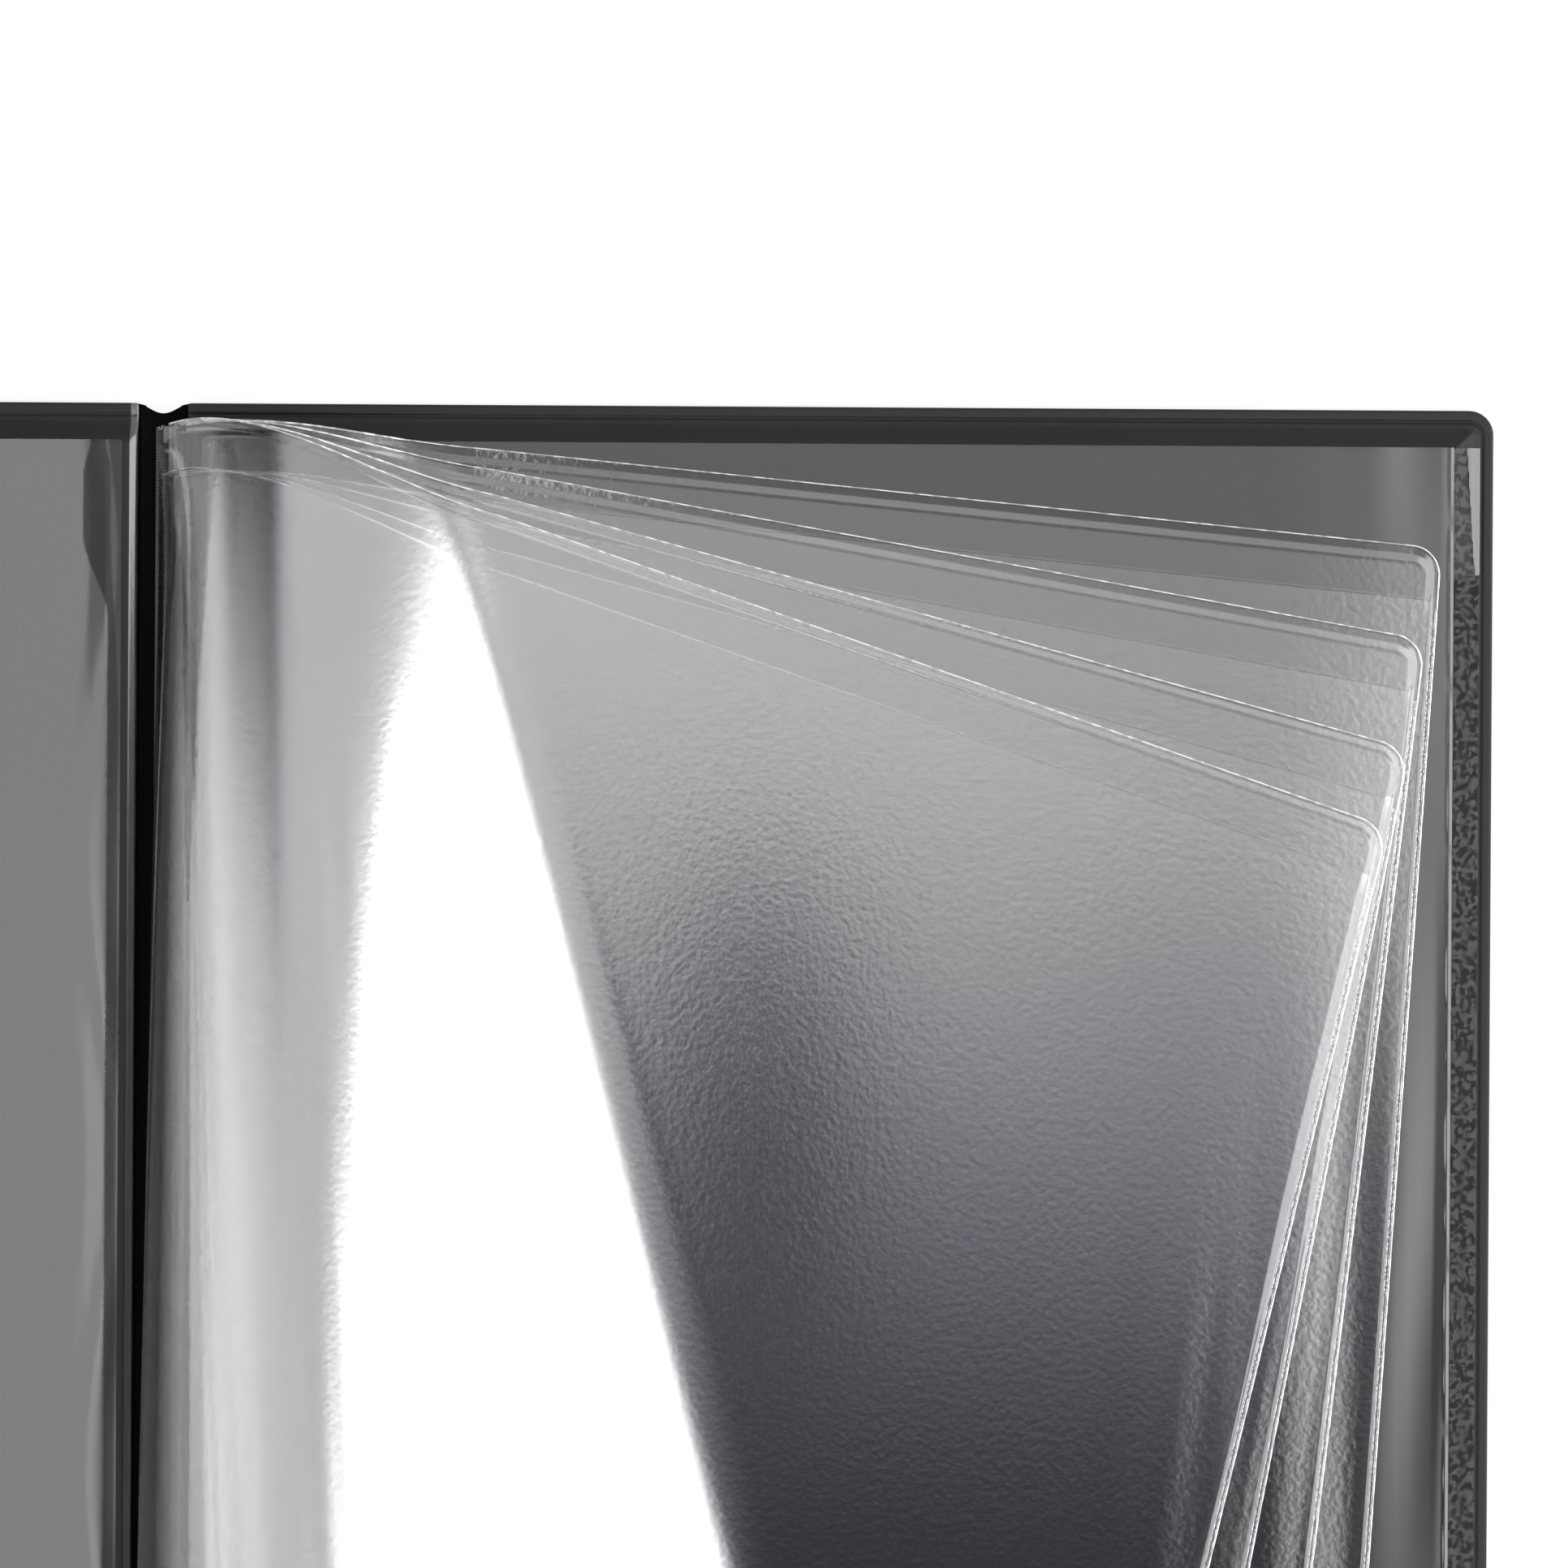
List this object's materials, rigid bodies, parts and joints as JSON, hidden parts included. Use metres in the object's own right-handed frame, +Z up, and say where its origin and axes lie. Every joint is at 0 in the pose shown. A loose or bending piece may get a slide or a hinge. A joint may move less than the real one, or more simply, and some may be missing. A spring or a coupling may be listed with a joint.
{
  "type": "menu cover",
  "caption": "Hinged black plastic menu cover lying open, with clear corner pockets inside the covers and clear page sleeves fanned from the spine.",
  "frame": {"origin": "middle of the spine's underside, on the surface that the open cover lies on", "axes": "+X to the back cover's outer edge, +Y to the top of the page, +Z up from the surface"},
  "size_m": [0.466, 0.3725, 0.0745],
  "materials": {
    "outer_skin": "fine leather grain",
    "lining": "fine leather grain",
    "board": "bare grey board",
    "clear_film": "clear glossy film",
    "binding_weld": "ribbed weld"
  },
  "bodies": {
    "back_cover": {"back_cover_outer_skin": "outer_skin", "back_cover_board": "board", "back_cover_lining": "lining", "back_cover_pocket_film": "clear_film"},
    "spine": {"spine_outer_skin": "outer_skin", "spine_lining": "lining"},
    "front_cover": {"front_cover_outer_skin": "outer_skin", "front_cover_board": "board", "front_cover_lining": "lining", "front_cover_pocket_film": "clear_film"},
    "binding": {"binding_strip": "binding_weld"},
    "sleeve_1": {"sleeve_1_back_film": "clear_film", "sleeve_1_front_film": "clear_film"},
    "sleeve_2": {"sleeve_2_back_film": "clear_film", "sleeve_2_front_film": "clear_film"},
    "sleeve_3": {"sleeve_3_back_film": "clear_film", "sleeve_3_front_film": "clear_film"},
    "sleeve_4": {"sleeve_4_back_film": "clear_film", "sleeve_4_front_film": "clear_film"}
  },
  "joints": [
    {"name": "front_cover_fold", "type": "hinge", "parent": "back_cover", "child": "front_cover", "pos_m": [0, 0, 0.0054], "axis": [0, -1, 0], "range_deg": [-180, 0], "deforming": ["sleeve_1_back_film", "sleeve_1_front_film", "sleeve_2_back_film", "sleeve_2_front_film", "sleeve_3_back_film", "sleeve_3_front_film", "sleeve_4_back_film", "sleeve_4_front_film", "binding_strip"]},
    {"name": "spine_fold", "type": "hinge", "parent": "back_cover", "child": "spine", "pos_m": [0.0039, 0, 0.0015], "axis": [0, -1, 0], "range_deg": [-90, 0]},
    {"name": "binding_shift", "type": "slide", "parent": "back_cover", "child": "binding", "axis": [0.9666, 0, 0.2563], "range_m": [0, 0.00683]},
    {"name": "sleeve_1_lift", "type": "hinge", "parent": "binding", "child": "sleeve_1", "pos_m": [-0.00115, 0, 0.0027], "axis": [0, -1, 0], "range_deg": [0, 20]},
    {"name": "sleeve_2_lift", "type": "hinge", "parent": "sleeve_1", "child": "sleeve_2", "pos_m": [-0.00115, 0, 0.0027], "axis": [0, -1, 0], "range_deg": [0, 20]},
    {"name": "sleeve_3_lift", "type": "hinge", "parent": "sleeve_2", "child": "sleeve_3", "pos_m": [-0.00115, 0, 0.0027], "axis": [0, -1, 0], "range_deg": [0, 20]},
    {"name": "sleeve_4_lift", "type": "hinge", "parent": "sleeve_3", "child": "sleeve_4", "pos_m": [-0.00115, 0, 0.0027], "axis": [0, -1, 0], "range_deg": [0, 20]}
  ],
  "couplings": [
    {"joint": "spine_fold", "follows": "front_cover_fold", "ratio": 0.5},
    {"joint": "binding_shift", "follows": "front_cover_fold", "m_per_rad": -0.0021734}
  ]
}
